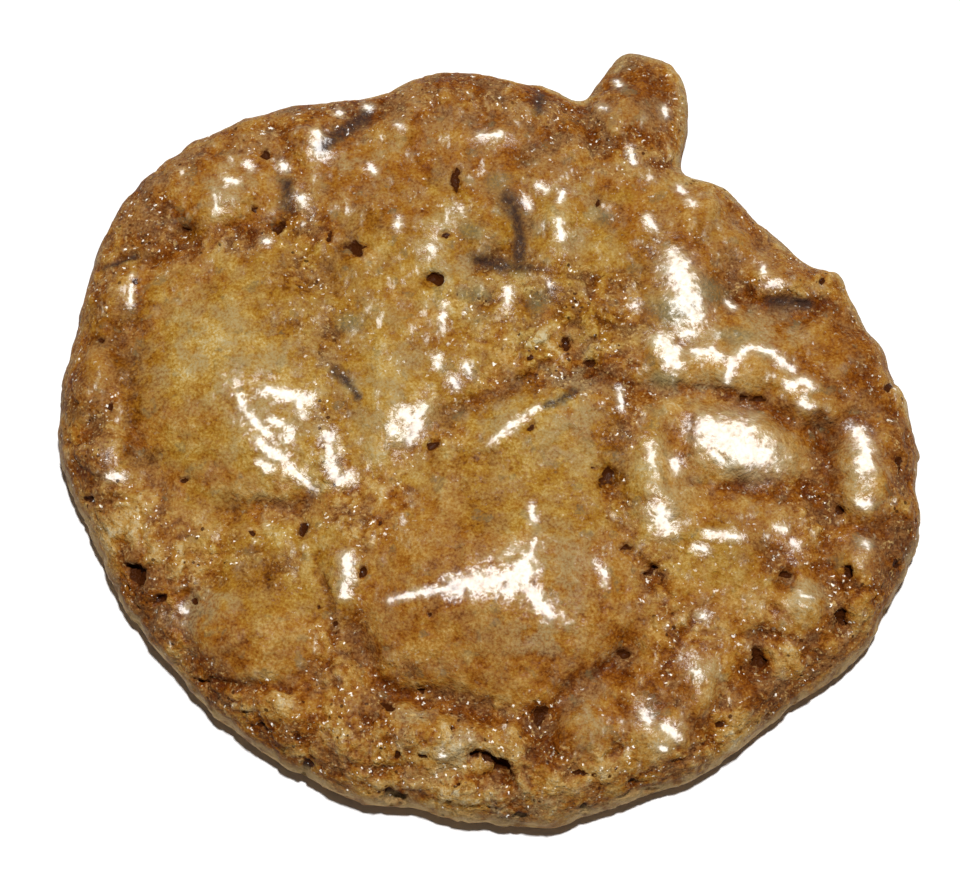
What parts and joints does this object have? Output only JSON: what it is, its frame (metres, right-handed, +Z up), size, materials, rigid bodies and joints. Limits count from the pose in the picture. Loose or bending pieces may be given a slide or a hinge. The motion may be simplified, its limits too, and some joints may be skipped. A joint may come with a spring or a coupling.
{
  "type": "fudge cookie",
  "caption": "Flat round cookie, baked as one piece, with a blistered glossy sugar crust, a craggy rim, a small flap on its edge and a flat underside.",
  "frame": {"origin": "on the table, below the middle of the outline's box", "axes": "+Z up out of the top crust, +X to the picture's right, +Y to its far side, where the flap is"},
  "size_m": [0.0862, 0.083, 0.0099],
  "materials": {
    "crust": "baked golden-brown crumb under a thin, patchy, glossy sugar crust"
  },
  "bodies": {
    "root": {"cookie": "crust"}
  },
  "joints": []
}
